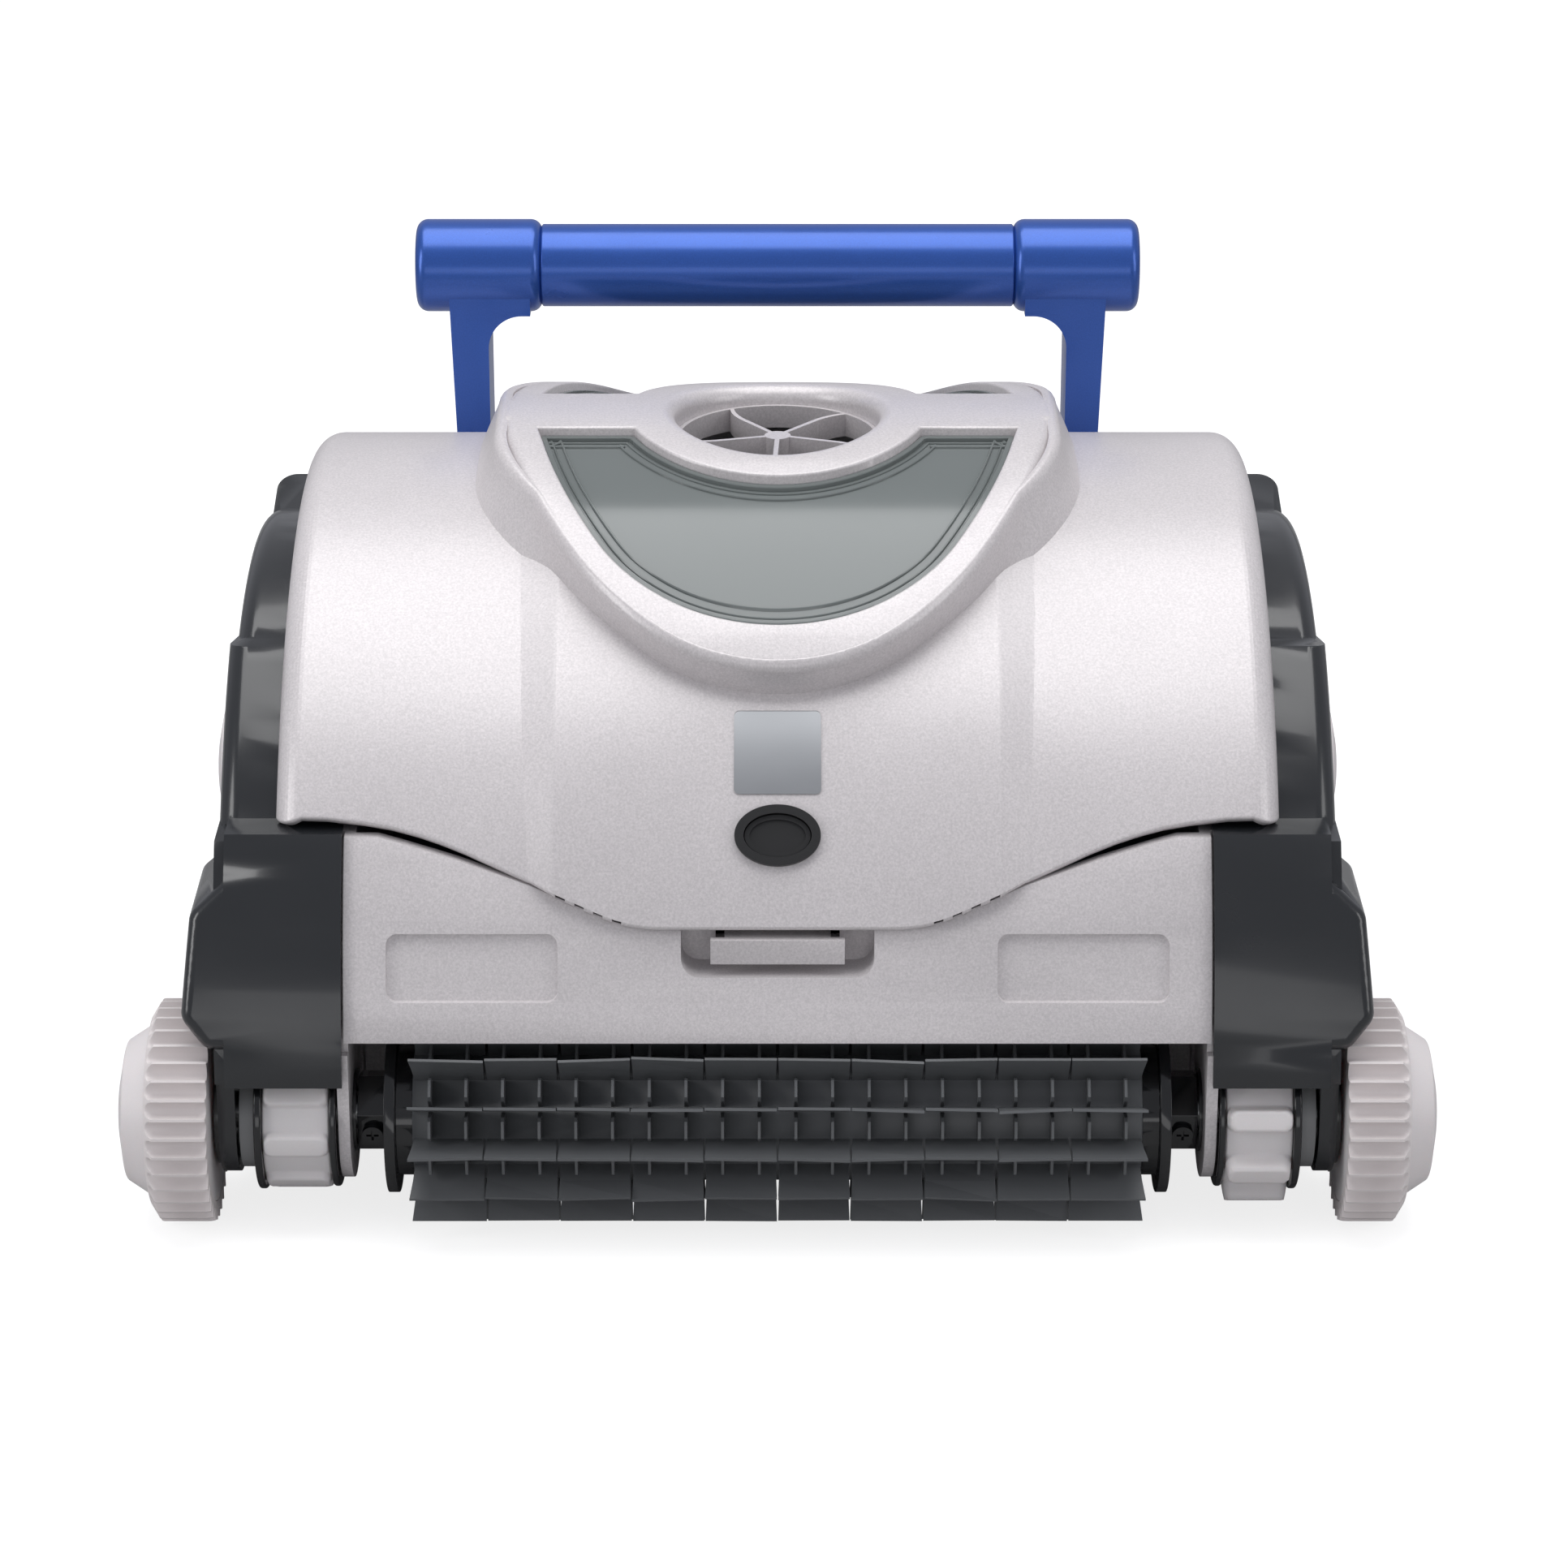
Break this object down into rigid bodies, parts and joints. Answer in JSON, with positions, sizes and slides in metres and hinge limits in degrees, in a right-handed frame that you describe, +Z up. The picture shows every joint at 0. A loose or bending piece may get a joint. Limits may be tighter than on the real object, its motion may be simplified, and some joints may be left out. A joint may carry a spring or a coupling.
{
  "type": "pool cleaner",
  "caption": "Robotic pool cleaner: two driven finned brush axles with treaded wheels, arched shell, hinged top cover with smoked windows, top outlet grille and carry handle",
  "frame": {"origin": "on the floor, at the centre of the machine", "axes": "+X to the machine's right, +Y to its rear, +Z up; both axles run along X"},
  "size_m": [0.431, 0.3788, 0.2701],
  "materials": {
    "shell": "pearl warm grey with fine metallic flake, satin gloss",
    "side": "charcoal, satin gloss",
    "smoked": "smoked clear plastic",
    "black": "black, gloss",
    "base": "dark grey, matt",
    "handle": "metallic blue, satin",
    "off_white": "off-white moulding",
    "tread": "off-white tyre compound",
    "bristle": "dark grey PVC",
    "button": "black soft rubber",
    "seal": "black rubber",
    "belt": "grey polyurethane belt",
    "steel": "stainless steel",
    "motor": "cast can",
    "badge": "brushed plate",
    "filter_frame": "grey-blue moulding",
    "filter_mesh": "fine woven mesh",
    "board": "laminate board",
    "impeller": "dark moulding"
  },
  "bodies": {
    "chassis": {"housing_front": "shell", "housing_middle": "shell", "housing_rear": "shell", "base_plate": "base", "side_cover_left": "side", "side_cover_right": "side", "motor_casing": "base", "motor_casing_cap": "base", "casing_seal": "seal", "drive_motor": "motor", "pump_motor": "motor", "control_board": "board", "pump_duct": "base", "filter_frames": "filter_frame", "filter_media": "filter_mesh", "drive_belt_left": "belt", "drive_belt_right": "belt", "axle_bushes": "black", "cable_gland": "side", "housing_screws": "steel", "hinge_pins": "steel"},
    "cover": {"top_cover": "shell", "lid_frame": "shell", "window_front": "smoked", "window_rear": "smoked", "outlet_grille": "shell", "badge_plate": "badge", "button_bezel": "button", "button_spring": "steel", "handle_arm_left": "handle", "handle_arm_right": "handle", "handle_grip": "handle", "handle_screws": "steel"},
    "release_button": {"release_button": "button"},
    "latch": {"latch_tongue": "shell"},
    "flap_front": {"inlet_flap_front": "base"},
    "flap_rear": {"inlet_flap_rear": "base"},
    "pump_rotor": {"impeller": "impeller", "pump_shaft": "steel"},
    "drive_train": {"drive_shaft": "steel", "drive_pulleys": "black"},
    "front_axle": {"front_axle_shaft": "steel", "front_brush_core": "black", "front_brush_fins": "bristle", "front_coupler_screws": "steel", "front_bump_spools": "black", "front_bump_ring_left": "off_white", "front_bump_ring_right": "off_white", "front_wheel_hubs": "off_white", "front_tyre_left": "tread", "front_tyre_right": "tread"},
    "rear_axle": {"rear_axle_shaft": "steel", "rear_brush_core": "black", "rear_brush_fins": "bristle", "rear_coupler_screws": "steel", "rear_bump_spools": "black", "rear_bump_ring_left": "off_white", "rear_bump_ring_right": "off_white", "rear_wheel_hubs": "off_white", "rear_tyre_left": "tread", "rear_tyre_right": "tread"}
  },
  "joints": [
    {"name": "front_axle_spin", "type": "hinge", "parent": "chassis", "child": "front_axle", "pos_m": [0, -0.152, 0.0365], "axis": [1, 0, 0], "continuous": true},
    {"name": "rear_axle_spin", "type": "hinge", "parent": "chassis", "child": "rear_axle", "pos_m": [0, 0.152, 0.0365], "axis": [1, 0, 0], "continuous": true},
    {"name": "drive_shaft_spin", "type": "hinge", "parent": "chassis", "child": "drive_train", "pos_m": [0, 0, 0.07], "axis": [1, 0, 0], "continuous": true},
    {"name": "pump_spin", "type": "hinge", "parent": "chassis", "child": "pump_rotor", "pos_m": [0, 0, 0.188], "axis": [0, 0, 1], "continuous": true},
    {"name": "cover_hinge", "type": "hinge", "parent": "chassis", "child": "cover", "pos_m": [0, 0.178, 0.102], "axis": [-1, 0, 0], "range_deg": [0, 85]},
    {"name": "release_button_slide", "type": "slide", "parent": "cover", "child": "release_button", "axis": [0, 0.829, -0.5592], "range_m": [0, 0.003], "stiffness_N_per_m": 300, "springref_m": -0.003, "deforming": ["button_spring"]},
    {"name": "latch_release", "type": "hinge", "parent": "cover", "child": "latch", "pos_m": [0, -0.153, 0.112], "axis": [-1, 0, 0], "range_deg": [0, 12]},
    {"name": "flap_front_hinge", "type": "hinge", "parent": "chassis", "child": "flap_front", "pos_m": [0, -0.072, 0.016], "axis": [1, 0, 0], "range_deg": [0, 60]},
    {"name": "flap_rear_hinge", "type": "hinge", "parent": "chassis", "child": "flap_rear", "pos_m": [0, 0.072, 0.016], "axis": [-1, 0, 0], "range_deg": [0, 60]}
  ],
  "couplings": [
    {"joint": "rear_axle_spin", "follows": "front_axle_spin", "ratio": 1},
    {"joint": "drive_shaft_spin", "follows": "front_axle_spin", "ratio": 1.68},
    {"joint": "latch_release", "follows": "release_button_slide", "rad_per_m": 69.813}
  ]
}
